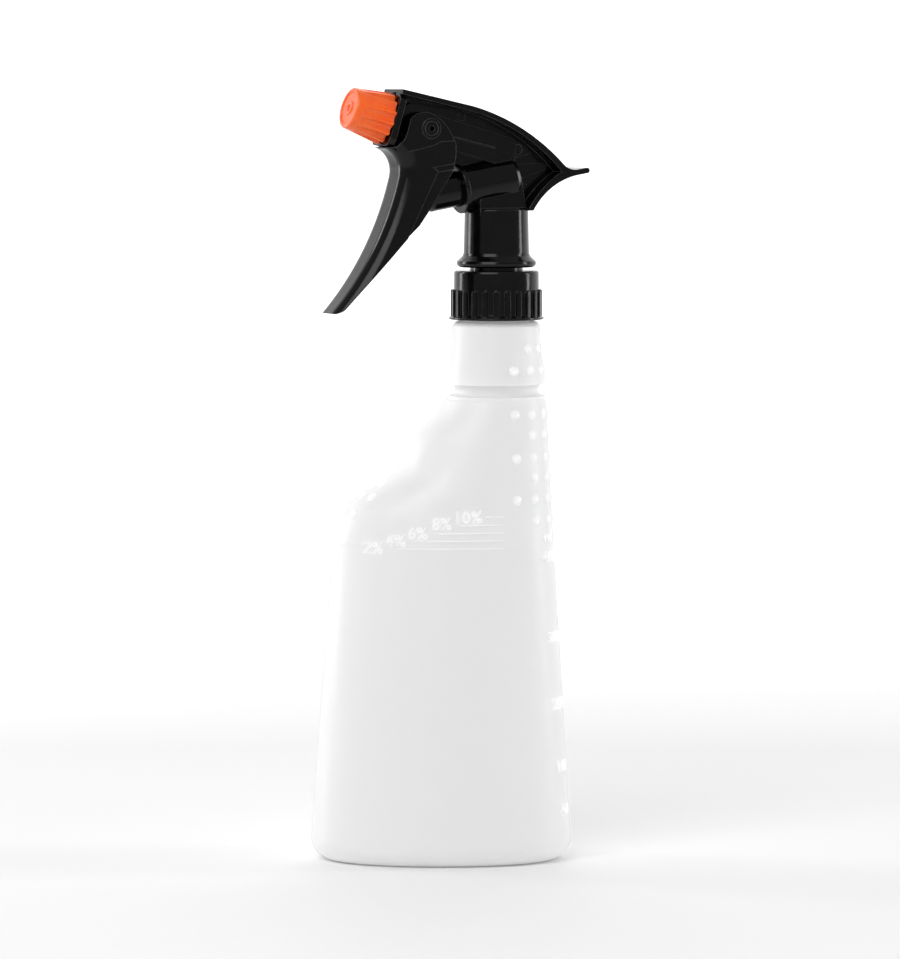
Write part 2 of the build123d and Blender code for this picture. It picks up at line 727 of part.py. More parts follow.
with BuildPart() as flute:
    with BuildSketch(Plane(origin=FLUTE_START, z_dir=FLUTE_RISE)):
        Circle(FLUTE_RADIUS)
    extrude(amount=FLUTE_RISE[2])

with BuildPart() as nozzle_cap:
    add(
        turned(
            SPOUT,
            (
                (NOZZLE_REAR, NOZZLE_BORE),
                (NOZZLE_REAR, NOZZLE_REAR_RADIUS - 0.4),
                (NOZZLE_REAR + 0.4, NOZZLE_REAR_RADIUS),
                (NOZZLE_FRONT - 0.6, NOZZLE_FRONT_RADIUS),
                (NOZZLE_FRONT - 0.15, NOZZLE_FRONT_RADIUS - 0.25),
                (NOZZLE_FRONT, NOZZLE_FRONT_RADIUS - 0.7),
                (NOZZLE_FRONT, 6.0),
                (NOZZLE_FRONT - 0.4, 5.8),
                (NOZZLE_FRONT - 0.4, 2.6),
                (NOZZLE_FRONT, 2.4),
                (NOZZLE_FRONT, 1.4),
                (NOZZLE_FRONT - 0.6, 1.0),
                (NOZZLE_FRONT - 0.6, ORIFICE),
                (NOZZLE_WALL_START, ORIFICE),
                (NOZZLE_WALL_START, NOZZLE_BORE),
            ),
        )
    )
    with Locations(along(SPOUT, 0)):
        with PolarLocations(0, FLUTES):
            add(flute.part, mode=Mode.SUBTRACT)
    with Locations(along(SPOUT, SPIGOT_THREAD_START - NOZZLE_PITCH / 2)):
        add(thread(NOZZLE_BORE, NOZZLE_BORE - 0.6, NOZZLE_PITCH, NOZZLE_TURNS, *NOZZLE_THREAD))
save(nozzle_cap, "nozzle_cap", HEAD_TURN)

# Nozzle seal, against the inside of the nozzle's face
with BuildPart() as nozzle_seal:
    add(
        turned(
            SPOUT,
            (
                (NOZZLE_WALL_START - 1.3, 3.4),
                (NOZZLE_WALL_START - 1.3, 5.3),
                (NOZZLE_WALL_START - 0.05, 5.3),
                (NOZZLE_WALL_START - 0.05, 3.4),
            ),
        )
    )
save(nozzle_seal, "nozzle_seal", HEAD_TURN)

# Trigger: two ears on the stubs, a U-shaped lever open at the back, a nose that pushes the piston
CHEEK_INSIDE = 7.2
CHEEK_OUTSIDE = 9.3
FRONT_ROUND = 6.2  # radius from the front edge into the sides
EAR_BOSS_RADIUS = 3.6
NOSE_RADIUS = 1.6
NOSE_LENGTH = 9.0
NOSE_DISTANCE = PISTON_FRONT - 0.1 - NOSE_RADIUS
NOSE_X = PUMP_X + NOSE_DISTANCE * cos(radians(PUMP_TILT))
NOSE_Z = PUMP_Z + NOSE_DISTANCE * sin(radians(PUMP_TILT))
TIP_BOTTOM = 197.6
TIP_CORNER = 5.0
LEVER_LEAN = radians(76)  # slope of the front edge under the lip
EAR_STEP = ((-41.5, 254.4), (-35.0, 255.6), (-29.0, 257.0), (-26.0, 258.4), (-19.5, 258.7))

with BuildPart() as trigger:
    # side outline: lip, front edge down to the tip, rear edge up to the ears
    with BuildSketch(SIDE):
        with BuildLine():
            TangentArc((-40.3, 246.0), (-45.4, 256.0), tangent=(cos(LEVER_LEAN), sin(LEVER_LEAN)))
            TangentArc((-40.3, 246.0), (-66.3, 198.0), tangent=(-cos(LEVER_LEAN), -sin(LEVER_LEAN)))
            Line((-66.3, 198.0), (-65.6, 197.9))
            TangentArc((-61.9, 199.9), (-65.6, 197.9), tangent=(-0.69, -0.73))
            Line((-61.9, 199.9), (-38.2, 225.0))
            Polyline((-38.2, 225.0), (-34.2, 228.7), (-30.4, 233.9), (-21.5, 247.2), (-20.2, 253.4))
            Line((-20.2, 253.4), (-20.2, 257.4))
            ThreePointArc((-20.2, 257.4), (-23.6, 263.9), (-29.5, 268.3))
            ThreePointArc((-29.5, 268.3), (-33.8, 268.6), (-37.4, 266.6))
            Polyline((-37.4, 266.6), (-39.4, 260.0), (-42.2, 256.6), (-45.0, 257.0), (-45.4, 256.0))
        make_face()
    extrude(amount=CHEEK_OUTSIDE, both=True)
    # the front edge turns softly into the sides, and the tip's corners are round from the front
    fillet(trigger.edges().filter_by(GeomType.CIRCLE).sort_by(SortBy.LENGTH)[-2:], radius=FRONT_ROUND)
    with BuildSketch(Plane(origin=(0, 0, TIP_BOTTOM), x_dir=(0, 1, 0), z_dir=(1, 0, 0))):
        with Locations((0, 50)):
            RectangleRounded(2 * CHEEK_OUTSIDE, 100, TIP_CORNER)
    extrude(amount=100, both=True, mode=Mode.INTERSECT)
    # channel open at the back, and open above so that the ears straddle the housing
    with BuildSketch(SIDE):
        with BuildLine():
            Line((-38.4, 256.4), (-37.7, 245.4))
            ThreePointArc((-37.7, 245.4), (-44.9, 225.1), (-55.3, 207.3))
            Polyline((-55.3, 207.3), (-54.0, 201.0), (-10.0, 225.0), (-10.0, 275.0), (-50.0, 275.0))
            Polyline((-50.0, 275.0), (-50.0, 256.4), (-38.4, 256.4))
        make_face()
    extrude(amount=CHEEK_INSIDE, both=True, mode=Mode.SUBTRACT)
    for side in (1, -1):
        # the ear is thinner than the cheek below it
        add(
            slab(
                EAR_STEP + ((-19.5, 275.0), (-50.0, 275.0), (-50.0, 254.4)),
                1.0,
                side * (EAR_OUTSIDE + 1.0),
            ),
            mode=Mode.SUBTRACT,
        )
        add(
            slab(((-50, 257.0), (-19, 257.0), (-19, 275), (-50, 275)), 1.0, side * (EAR_INSIDE - 1.0)),
            mode=Mode.SUBTRACT,
        )
        # recessed rear part of the cheek, under a small ledge
        add(
            slab(
                ((-27.2, 247.6), (-18.0, 248.8), (-18.0, 220.0), (-40.0, 222.0), (-36.8, 228.6)),
                1.0,
                side * (CHEEK_OUTSIDE + 0.4),
            ),
            mode=Mode.SUBTRACT,
        )
        add(slab(((-29.2, 249.3), (-21.0, 250.6), (-21.2, 248.6), (-27.2, 247.6)), 0.5, side * CHEEK_OUTSIDE))
        with Locations(Location((NECK_X + PIVOT_X, side * EAR_OUTSIDE, PIVOT_Z), (90, 0, 0))):
            Cylinder(EAR_BOSS_RADIUS, 2 * EAR_BOSS)
    with Locations(Location((NECK_X + PIVOT_X, 0, PIVOT_Z), (90, 0, 0))):
        Cylinder(STUB_RADIUS + RUNNING, 4 * EAR_OUTSIDE, mode=Mode.SUBTRACT)
    # nose and the rib that carries it
    add(slab(((NOSE_X, NOSE_Z + 1.4), (NOSE_X, NOSE_Z - 1.4), (-42.5, 233.5), (-40.0, 243.5)), 1.2))
    with Locations(Location((NECK_X + NOSE_X, 0, NOSE_Z), (90, 0, 0))):
        Cylinder(NOSE_RADIUS, NOSE_LENGTH)
save(trigger, "trigger", HEAD_TURN)
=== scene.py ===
import json
import math

import bpy
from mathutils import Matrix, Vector
from mathutils.bvhtree import BVHTree


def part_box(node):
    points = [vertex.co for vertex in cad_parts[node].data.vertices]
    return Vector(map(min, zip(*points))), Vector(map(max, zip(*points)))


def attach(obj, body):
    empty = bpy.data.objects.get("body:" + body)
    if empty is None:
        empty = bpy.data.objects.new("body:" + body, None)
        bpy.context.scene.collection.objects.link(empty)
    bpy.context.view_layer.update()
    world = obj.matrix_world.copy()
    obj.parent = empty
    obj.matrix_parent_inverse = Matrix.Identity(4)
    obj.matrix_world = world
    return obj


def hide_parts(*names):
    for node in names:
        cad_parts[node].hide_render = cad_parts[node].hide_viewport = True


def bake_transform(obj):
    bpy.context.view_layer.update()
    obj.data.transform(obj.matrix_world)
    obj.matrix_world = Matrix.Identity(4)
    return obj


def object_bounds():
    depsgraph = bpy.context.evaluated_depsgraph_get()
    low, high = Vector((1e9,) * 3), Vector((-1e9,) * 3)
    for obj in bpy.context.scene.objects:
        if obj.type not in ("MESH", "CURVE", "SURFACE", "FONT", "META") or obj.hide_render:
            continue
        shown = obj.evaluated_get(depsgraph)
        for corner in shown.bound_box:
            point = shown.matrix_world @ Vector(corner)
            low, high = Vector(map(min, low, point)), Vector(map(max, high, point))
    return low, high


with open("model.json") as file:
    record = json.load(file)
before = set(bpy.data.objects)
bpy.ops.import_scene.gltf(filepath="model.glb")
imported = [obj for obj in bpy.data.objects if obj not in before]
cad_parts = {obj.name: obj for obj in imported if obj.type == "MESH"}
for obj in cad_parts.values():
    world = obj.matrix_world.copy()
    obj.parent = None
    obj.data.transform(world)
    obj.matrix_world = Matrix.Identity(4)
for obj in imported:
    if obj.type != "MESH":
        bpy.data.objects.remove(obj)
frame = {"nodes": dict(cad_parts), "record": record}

MM = 0.001
CAD_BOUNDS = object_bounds()
MODEL = bpy.context.collection

NECK_LOW, NECK_HIGH = (Vector(corner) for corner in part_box("neck_gasket"))
NECK = (NECK_LOW + NECK_HIGH) / 2
HEIGHT = CAD_BOUNDS[1][2]


# ---------------------------------------------------------------- small helpers


def link(name, data):
    """A new object in the scene."""
    piece = bpy.data.objects.new(name, data)
    MODEL.objects.link(piece)
    return piece


def mesh_of(name, vertices, faces, material):
    """A smooth mesh from its vertices and faces."""
    mesh = bpy.data.meshes.new(name)
    mesh.from_pydata([tuple(vertex) for vertex in vertices], [], faces)
    for face in mesh.polygons:
        face.use_smooth = True
    mesh.materials.append(material)
    return mesh


def bottle_piece(name, vertices, faces):
    """A raised part of the bottle's wall."""
    piece = link(name, mesh_of(name, vertices, faces, RELIEF_WITH_PAINTED_GLOW))
    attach(piece, "bottle")


# ---------------------------------------------------------------- camera, floor and light

CAMERA_ELEVATION = math.radians(4.5)
CAMERA_DISTANCE = 1.8
CAMERA_LENS = 188.0
CLIP_END = 30.0
AIM_HEIGHT = 0.137
AIM_IN_FRONT_OF_NECK = 0.0166


def set_camera():
    """A long lens square to the bottle's side, a little above its middle."""
    aim = Vector((NECK.x - AIM_IN_FRONT_OF_NECK, NECK.y, AIM_HEIGHT))
    away = Vector((0, -math.cos(CAMERA_ELEVATION), math.sin(CAMERA_ELEVATION)))
    camera = link("camera", bpy.data.cameras.new("camera"))
    camera.location = aim + away * CAMERA_DISTANCE
    camera.rotation_euler = away.to_track_quat("Z", "Y").to_euler()
    camera.data.lens = CAMERA_LENS
    camera.data.clip_end = CLIP_END
    bpy.context.scene.camera = camera


FLOOR_HALF_WIDTH = 7.0
FLOOR_FRONT = -7.0
WALL_AT = 3.2
WALL_HEIGHT = 5.0
COVE_RADIUS = 1.6
COVE_STEPS = 16


def make_floor():
    """A pale floor that sweeps up into a wall behind the object, brightened there by a painted glow.
    """
    profile = [(FLOOR_FRONT, 0.0)]
    for step in range(COVE_STEPS + 1):
        angle = math.pi / 2 * step / COVE_STEPS
        along = WALL_AT - COVE_RADIUS + COVE_RADIUS * math.sin(angle)
        profile.append((along, COVE_RADIUS - COVE_RADIUS * math.cos(angle)))
    profile.append((WALL_AT, WALL_HEIGHT))
    vertices = [(x, y, z) for y, z in profile for x in (-FLOOR_HALF_WIDTH, FLOOR_HALF_WIDTH)]
    faces = [(2 * i, 2 * i + 1, 2 * i + 3, 2 * i + 2) for i in range(len(profile) - 1)]
    mesh = bpy.data.meshes.new("floor")
    mesh.from_pydata(vertices, [], faces)
    for face in mesh.polygons:
        face.use_smooth = True
    mesh.materials.append(floor_with_painted_glow())
    link("floor", mesh)


def area_light(name, location, size, power):
    """A soft box that faces the middle of the object."""
    light = bpy.data.lights.new(name, "AREA")
    light.shape = "RECTANGLE"
    light.size, light.size_y = size
    light.energy = power
    holder = link(name, light)
    holder.location = location
    target = Vector((0, 0, HEIGHT / 2))
    holder.rotation_euler = (holder.location - target).to_track_quat("Z", "Y").to_euler()


def around(azimuth, elevation, distance):
    """A point round the middle of the object, azimuth 0 in front and 90 to the right."""
    turn, rise = math.radians(azimuth), math.radians(elevation)
    return Vector(
        (
            math.sin(turn) * math.cos(rise) * distance,
            -math.cos(turn) * math.cos(rise) * distance,
            math.sin(rise) * distance + HEIGHT / 2,
        )
    )


# name, azimuth and elevation in degrees, distance and size in metres, power in watts
SOFT_BOXES = (
    ("left_box", -112, 8, 0.95, (0.16, 0.9), 3.0),
    ("right_box", 95, 10, 1.05, (0.16, 0.9), 3.6),
    ("back_box", 180, 35, 1.3, (0.9, 0.5), 1.5),
    ("front_fill", -25, 42, 1.5, (1.0, 1.0), 11.0),
)
SURROUND_STRENGTH = 0.4


def set_lights():
    """Soft boxes at the sides, behind and in front, in an even white surround."""
    for name, azimuth, elevation, distance, size, power in SOFT_BOXES:
        area_light(name, around(azimuth, elevation, distance), size, power)
    world = bpy.data.worlds.new("surround")
    world.use_nodes = True
    background = world.node_tree.nodes["Background"]
    background.inputs["Color"].default_value = (1, 1, 1, 1)
    background.inputs["Strength"].default_value = SURROUND_STRENGTH
    bpy.context.scene.world = world
    bpy.context.scene.view_settings.view_transform = "Standard"


# ---------------------------------------------------------------- materials


def new_material(name, colour, roughness):
    """A new material with its node tree and shader, and the flat values that textures then vary."""
    made = bpy.data.materials.new(name)
    made.use_nodes = True
    shader = made.node_tree.nodes["Principled BSDF"]
    shader.inputs["Base Color"].default_value = (*colour, 1)
    shader.inputs["Roughness"].default_value = roughness
    return made, made.node_tree, shader


def add_node(tree, kind, **values):
    """A shader node with some of its sockets set."""
    made = tree.nodes.new(kind)
    for name, value in values.items():
        made.inputs[name].default_value = value
    return made


def noise(tree, scale, detail=3.0, roughness=0.5, stretch=(1, 1, 1)):
    """Noise in the piece's own coordinates, in cells a metre, stretched if asked."""
    place = tree.nodes.new("ShaderNodeTexCoord")
    mapping = add_node(tree, "ShaderNodeMapping", Scale=stretch)
    tree.links.new(place.outputs["Object"], mapping.inputs["Vector"])
    texture = add_node(tree, "ShaderNodeTexNoise", Scale=scale, Detail=detail, Roughness=roughness)
    tree.links.new(mapping.outputs["Vector"], texture.inputs["Vector"])
    return texture.outputs["Fac"]


def ranged(tree, factor, source, target):
    """A factor mapped from one range to another."""
    mapped = tree.nodes.new("ShaderNodeMapRange")
    mapped.inputs["From Min"].default_value, mapped.inputs["From Max"].default_value = source
    mapped.inputs["To Min"].default_value, mapped.inputs["To Max"].default_value = target
    tree.links.new(factor, mapped.inputs["Value"])
    return mapped.outputs["Result"]


MIDDLE_OF_NOISE = (0.32, 0.68)


def vary_roughness(tree, shader, factor, limits):
    """The roughness runs between two limits with a noise."""
    tree.links.new(ranged(tree, factor, MIDDLE_OF_NOISE, limits), shader.inputs["Roughness"])


def mixed(tree, factor, first, second):
    """Colour sockets or colours, mixed by a factor."""
    mix = tree.nodes.new("ShaderNodeMix")
    mix.data_type = "RGBA"
    sockets = [socket for socket in mix.inputs if socket.type == "RGBA"]
    for socket, colour in zip(sockets, (first, second)):
        if isinstance(colour, tuple):
            socket.default_value = (*colour, 1)
        else:
            tree.links.new(colour, socket)
    tree.links.new(factor, mix.inputs["Factor"])
    return next(socket for socket in mix.outputs if socket.type == "RGBA")


def vary_colour(tree, shader, factor, first, second):
    """The base colour runs between two colours with a noise."""
    colour = mixed(tree, ranged(tree, factor, MIDDLE_OF_NOISE, (0, 1)), first, second)
    tree.links.new(colour, shader.inputs["Base Color"])
    return colour


def tint(tree, shader, colour, factor, second):
    """The base colour goes over to a second one with a factor."""
    tree.links.new(mixed(tree, factor, colour, second), shader.inputs["Base Color"])


BEVEL_SAMPLES = 6


def softened(tree, radius):
    """The surface normal with its edges rounded over a radius."""
    soft = add_node(tree, "ShaderNodeBevel", Radius=radius)
    soft.samples = BEVEL_SAMPLES
    return soft.outputs["Normal"]


EDGE_FROM, EDGE_TO = 0.97, 0.8  # cosine between the softened and the true normal


def edge_highlight_mask(tree, radius):
    """A factor that rises from 0 on the faces to 1 on the edges."""
    true_normal = tree.nodes.new("ShaderNodeNewGeometry").outputs["Normal"]
    product = tree.nodes.new("ShaderNodeVectorMath")
    product.operation = "DOT_PRODUCT"
    tree.links.new(softened(tree, radius), product.inputs[0])
    tree.links.new(true_normal, product.inputs[1])
    return ranged(tree, product.outputs["Value"], (EDGE_FROM, EDGE_TO), (0, 1))


def relief(tree, shader, layers, edge=None):
    """Stacked bump, each layer a height factor and its depth in metres, over softened edges."""
    normal = softened(tree, edge) if edge else None
    for factor, depth in layers:
        layer = add_node(tree, "ShaderNodeBump", Strength=1.0, Distance=depth)
        tree.links.new(factor, layer.inputs["Height"])
        if normal:
            tree.links.new(normal, layer.inputs["Normal"])
        normal = layer.outputs["Normal"]
    tree.links.new(normal, shader.inputs["Normal"])


# painted light: the floor's glow rises from nothing at GLOW_FROM to WALL_LIGHT at GLOW_TO, halfway
# to the wall
GLOW_FROM, GLOW_TO = 0.3, WALL_AT / 2
WALL_LIGHT = 0.75


def floor_with_painted_glow():
    """White paint with a painted glow that rises from behind the object towards the wall."""
    made, tree, shader = new_material("floor_with_painted_glow", (0.86, 0.86, 0.86), 0.6)
    vary_roughness(tree, shader, noise(tree, 4.0), (0.55, 0.7))
    place = tree.nodes.new("ShaderNodeTexCoord")
    split = tree.nodes.new("ShaderNodeSeparateXYZ")
    tree.links.new(place.outputs["Object"], split.inputs["Vector"])
    # painted light: emission brightens the floor by its distance behind the object
    glow = ranged(tree, split.outputs["Y"], (GLOW_FROM, GLOW_TO), (0.0, WALL_LIGHT))
    shader.inputs["Emission Color"].default_value = (1, 1, 1, 1)
    tree.links.new(glow, shader.inputs["Emission Strength"])
    return made


# painted shade: the bottle's base colour darkens towards grey where its wall is seen edge on
RIM_SHADE_FROM = 0.6  # the wall looks darker where it is seen edge on, from here to 1
RIM_SHADE_COLOUR = (0.3, 0.31, 0.32)


def natural_polyethylene(name, glow):
    """Blown polyethylene: milky and satin, with a painted glow, painted shade at its rims, orange
    peel and flow streaks.
    """
    made, tree, shader = new_material(name, (0.95, 0.95, 0.95), 0.4)
    cloud = noise(tree, 28, detail=5, stretch=(1, 1, 0.5))
    colour = vary_colour(tree, shader, cloud, (0.93, 0.932, 0.935), (0.97, 0.97, 0.97))
    # painted shade: the base colour goes grey where the wall is seen edge on
    facing = add_node(tree, "ShaderNodeLayerWeight", Blend=0.3).outputs["Facing"]
    tint(tree, shader, colour, ranged(tree, facing, (RIM_SHADE_FROM, 1.0), (0, 1)), RIM_SHADE_COLOUR)
    # painted light: the wall glows by its own emission
    shader.inputs["Emission Color"].default_value = (1, 1, 1, 1)
    shader.inputs["Emission Strength"].default_value = glow
    vary_roughness(tree, shader, noise(tree, 240, detail=5), (0.3, 0.48))
    streaks = noise(tree, 160, detail=4, stretch=(1, 1, 0.06))
    peel = noise(tree, 1100, detail=3)
    ripple = noise(tree, 45, detail=2, stretch=(1, 1, 0.4))
    relief(tree, shader, ((ripple, 0.0007), (streaks, 0.00004), (peel, 0.00002)), edge=0.0004)
    shader.inputs["Subsurface Weight"].default_value = 0.75
    shader.inputs["Subsurface Radius"].default_value = (1.0, 1.0, 1.0)
    shader.inputs["Subsurface Scale"].default_value = 0.01
    shader.inputs["IOR"].default_value = 1.5
    return made


# painted highlight: the width and the paler colour of the lines along the black's edges
EDGE_WIDTH = 0.3 * MM
EDGE_HIGHLIGHT_COLOUR = (0.09, 0.09, 0.092)


def black_polypropylene():
    """Glossy moulded black, with painted highlights along its edges, a fine skin texture and faint
    rubbing.
    """
    made, tree, shader = new_material("black_polypropylene", (0.0015, 0.0015, 0.0017), 0.2)
    dark, light = (0.001, 0.001, 0.0012), (0.0025, 0.0025, 0.003)
    colour = vary_colour(tree, shader, noise(tree, 150, detail=4), dark, light)
    # painted highlight: the base colour turns grey along the edges
    tint(tree, shader, colour, edge_highlight_mask(tree, EDGE_WIDTH), EDGE_HIGHLIGHT_COLOUR)
    vary_roughness(tree, shader, noise(tree, 110, detail=6), (0.08, 0.18))
    skin = noise(tree, 3200, detail=2)
    peel = noise(tree, 380, detail=2)
    rubbing = noise(tree, 900, detail=6, roughness=0.7, stretch=(0.12, 1, 1))
    relief(tree, shader, ((peel, 0.00003), (skin, 0.000012), (rubbing, 0.000008)), edge=0.00045)
    shader.inputs["IOR"].default_value = 1.5
    shader.inputs["Specular IOR Level"].default_value = 0.24
    return made


def orange_polypropylene():
    """Bright orange, a little translucent, satin."""
    made, tree, shader = new_material("orange_polypropylene", (0.95, 0.13, 0.012), 0.32)
    vary_colour(tree, shader, noise(tree, 130, detail=4), (0.92, 0.11, 0.008), (1.0, 0.155, 0.016))
    vary_roughness(tree, shader, noise(tree, 300, detail=5), (0.24, 0.4))
    relief(tree, shader, ((noise(tree, 1500, detail=2), 0.000015),), edge=0.0003)
    shader.inputs["Subsurface Weight"].default_value = 0.2
    shader.inputs["Subsurface Radius"].default_value = (1.0, 0.25, 0.05)
    shader.inputs["Subsurface Scale"].default_value = 0.002
    return made


def white_polypropylene():
    """Plain white moulded plastic, satin."""
    made, tree, shader = new_material("white_polypropylene", (0.82, 0.82, 0.8), 0.35)
    vary_colour(tree, shader, noise(tree, 200), (0.8, 0.8, 0.78), (0.86, 0.86, 0.85))
    vary_roughness(tree, shader, noise(tree, 400, detail=4), (0.28, 0.42))
    relief(tree, shader, ((noise(tree, 1200), 0.00002),), edge=0.0002)
    return made


def clear_polyethylene():
    """Drawn tube, cloudy, with fine lines along it."""
    made, tree, shader = new_material("clear_polyethylene", (0.74, 0.76, 0.77), 0.3)
    vary_roughness(tree, shader, noise(tree, 500, detail=4), (0.22, 0.38))
    relief(tree, shader, ((noise(tree, 900, stretch=(1, 1, 0.05)), 0.000004),))
    shader.inputs["Transmission Weight"].default_value = 0.15
    shader.inputs["IOR"].default_value = 1.51
    return made


def pale_elastomer():
    """Soft sealing rubber, matt and a little uneven."""
    made, tree, shader = new_material("pale_elastomer", (0.6, 0.59, 0.55), 0.6)
    vary_colour(tree, shader, noise(tree, 250), (0.57, 0.56, 0.52), (0.64, 0.63, 0.6))
    vary_roughness(tree, shader, noise(tree, 700, detail=4), (0.5, 0.7))
    relief(tree, shader, ((noise(tree, 1500, detail=4), 0.00003),), edge=0.0002)
    return made


def spring_steel():
    """Drawn stainless wire, with fine lines along it."""
    made, tree, shader = new_material("spring_steel", (0.6, 0.6, 0.61), 0.28)
    shader.inputs["Metallic"].default_value = 1.0
    drawn = noise(tree, 1500, detail=4, stretch=(0.3, 1, 0.3))
    vary_roughness(tree, shader, drawn, (0.2, 0.38))
    relief(tree, shader, ((drawn, 0.00001),))
    return made


def ball_glass():
    """The valve ball: clear glass, barely marked."""
    made, tree, shader = new_material("ball_glass", (0.9, 0.95, 0.93), 0.05)
    vary_roughness(tree, shader, noise(tree, 600), (0.03, 0.08))
    relief(tree, shader, ((noise(tree, 900), 0.000004),))
    shader.inputs["Transmission Weight"].default_value = 0.9
    return made


# painted light: how strongly the bottle's wall and its raised relief glow, the relief more to stand
# as a painted highlight
WALL_GLOW, RELIEF_GLOW = 0.09, 0.24

MATERIALS = {
    "bottle_pe": natural_polyethylene("natural_polyethylene", WALL_GLOW),
    "black_pp": black_polypropylene(),
    "orange_pp": orange_polypropylene(),
    "white_pp": white_polypropylene(),
    "clear_pe": clear_polyethylene(),
    "seal_rubber": pale_elastomer(),
    "spring_steel": spring_steel(),
    "valve_glass": ball_glass(),
}
# the raised relief's material, with a stronger painted glow that lightens it as a painted highlight
RELIEF_WITH_PAINTED_GLOW = natural_polyethylene("raised_polyethylene_painted_glow", RELIEF_GLOW)


def dress_frame():
    """Every CAD node gets the material of its slot in the record."""
    for entry in frame["record"]["subparts"]:
        for holder in frame["nodes"][entry["node"]].material_slots:
            holder.material = MATERIALS[entry["material_slot"]]


# ---------------------------------------------------------------- relief moulded on the bottle


def bottle_tree():
    """The bottle's mesh, ready to be found by rays."""
    mesh = frame["nodes"]["bottle"].data
    return BVHTree.FromPolygons(
        [vertex.co for vertex in mesh.vertices],
        [tuple(face.vertices) for face in mesh.polygons],
    )


BOTTLE = bottle_tree()
OUTSIDE = 0.2  # rays start this far from the neck axis


def touch(start, direction):
    """Where a ray meets the bottle, and the surface's outward normal there."""
    hit, normal, _, _ = BOTTLE.ray_cast(start, direction)
    if hit is None:
        raise ValueError(f"no bottle surface from {tuple(start)} along {tuple(direction)}")
    return hit, -normal if normal.dot(direction) > 0 else normal


BUMP_RADIUS = 2.2 * MM
BUMP_HEIGHT = 0.75 * MM
BUMP_ROOT = 0.4 * MM
BUMP_SIDES = 24
BUMP_RINGS = 6


def add_bump(vertices, faces, hit, normal):
    """One raised pip, a low dome rooted in the wall."""
    across = normal.orthogonal().normalized()
    other = normal.cross(across)
    first = len(vertices)
    vertices.append(hit + normal * BUMP_HEIGHT)
    for ring in range(1, BUMP_RINGS + 1):
        share = ring / BUMP_RINGS
        lift = BUMP_HEIGHT * (1 - share**2) ** 2 - (BUMP_ROOT if ring == BUMP_RINGS else 0)
        for side in range(BUMP_SIDES):
            angle = 2 * math.pi * side / BUMP_SIDES
            spread = across * math.cos(angle) + other * math.sin(angle)
            vertices.append(hit + normal * lift + spread * BUMP_RADIUS * share)
    for side in range(BUMP_SIDES):
        following = (side + 1) % BUMP_SIDES
        faces.append((first, first + 1 + side, first + 1 + following))
        for ring in range(BUMP_RINGS - 1):
            low = first + 1 + ring * BUMP_SIDES
            high = low + BUMP_SIDES
            faces.append((low + side, high + side, high + following, low + following))
    bottom = tuple(first + 1 + (BUMP_RINGS - 1) * BUMP_SIDES + side for side in range(BUMP_SIDES))
    faces.append(bottom[::-1])


GRIP_ROWS = (184.5, 176.8, 161.2, 153.8, 145.7, 138.5, 130.9, 123.2)
GRIP_WIDE_ROWS = (176.8, 161.2, 145.7, 130.9)
GRIP_REACH, GRIP_WIDE_REACH = 2, 3  # columns each side of the middle one
GRIP_STEP = 23.0  # degrees between columns, about the neck axis
FRONT_PIP = (174.5, 180.0)  # height, and degrees from the back
INNER_PIPS, OUTER_PIPS = (0, 7, -7), (13, -13)
SHOULDER_ROWS = (  # distance from the neck axis, and places across
    (-41.3, INNER_PIPS),
    (-47.7, INNER_PIPS),
    (-54.4, INNER_PIPS),
    (-44.4, OUTER_PIPS),
    (-51.0, OUTER_PIPS),
)


def grip_bumps():
    """Pips round the back of the neck and shoulder, in staggered columns, and one in front."""
    vertices, faces = [], []
    places = [FRONT_PIP]
    for height in GRIP_ROWS:
        reach = GRIP_WIDE_REACH if height in GRIP_WIDE_ROWS else GRIP_REACH
        places += [(height, GRIP_STEP * column) for column in range(-reach, reach + 1)]
    for height, degrees in places:
        angle = math.radians(degrees)
        outward = Vector((math.cos(angle), math.sin(angle), 0))
        axis = Vector((NECK.x, NECK.y, height * MM))
        add_bump(vertices, faces, *touch(axis + outward * OUTSIDE, -outward))
    bottle_piece("grip_bumps", vertices, faces)


def shoulder_bumps():
    """Pips on the sloping front of the shoulder."""
    vertices, faces = [], []
    for along, widths in SHOULDER_ROWS:
        for width in widths:
            above = Vector((NECK.x + along * MM, NECK.y + width * MM, OUTSIDE))
            add_bump(vertices, faces, *touch(above, Vector((0, 0, -1))))
    bottle_piece("shoulder_bumps", vertices, faces)


DOSE_SIZE = 6.1 * MM
VOLUME_SIZE = 0.95 * DOSE_SIZE
BOLDNESS = 0.025
CURVE_STEPS = 3
RELIEF = 0.4 * MM
ROOT = 0.3 * MM


def flat_text(words, size):
    """Vertices and faces of lettering centred over its origin, half a unit deep each way."""
    curve = bpy.data.curves.new("lettering", "FONT")
    curve.body = words
    curve.size = size
    curve.align_x = "CENTER"
    curve.extrude = 0.5
    curve.resolution_u = CURVE_STEPS
    curve.offset = size * BOLDNESS
    holder = link("lettering", curve)
    depsgraph = bpy.context.evaluated_depsgraph_get()
    mesh = bpy.data.meshes.new_from_object(holder.evaluated_get(depsgraph))
    vertices = [vertex.co.copy() for vertex in mesh.vertices]
    faces = [tuple(face.vertices) for face in mesh.polygons]
    bpy.data.objects.remove(holder)
    bpy.data.curves.remove(curve)
    bpy.data.meshes.remove(mesh)
    return vertices, faces


LINE_HALF_WIDTH = 0.22 * MM
LINE_STEPS = 24


def join_rings(faces, first, corners, steps):
    """The side faces of a bar whose rings of corners follow each other from a first vertex."""
    for step in range(steps):
        low = first + corners * step
        high = low + corners
        for corner in range(corners):
            following = (corner + 1) % corners
            faces.append((low + corner, low + following, high + following, high + corner))


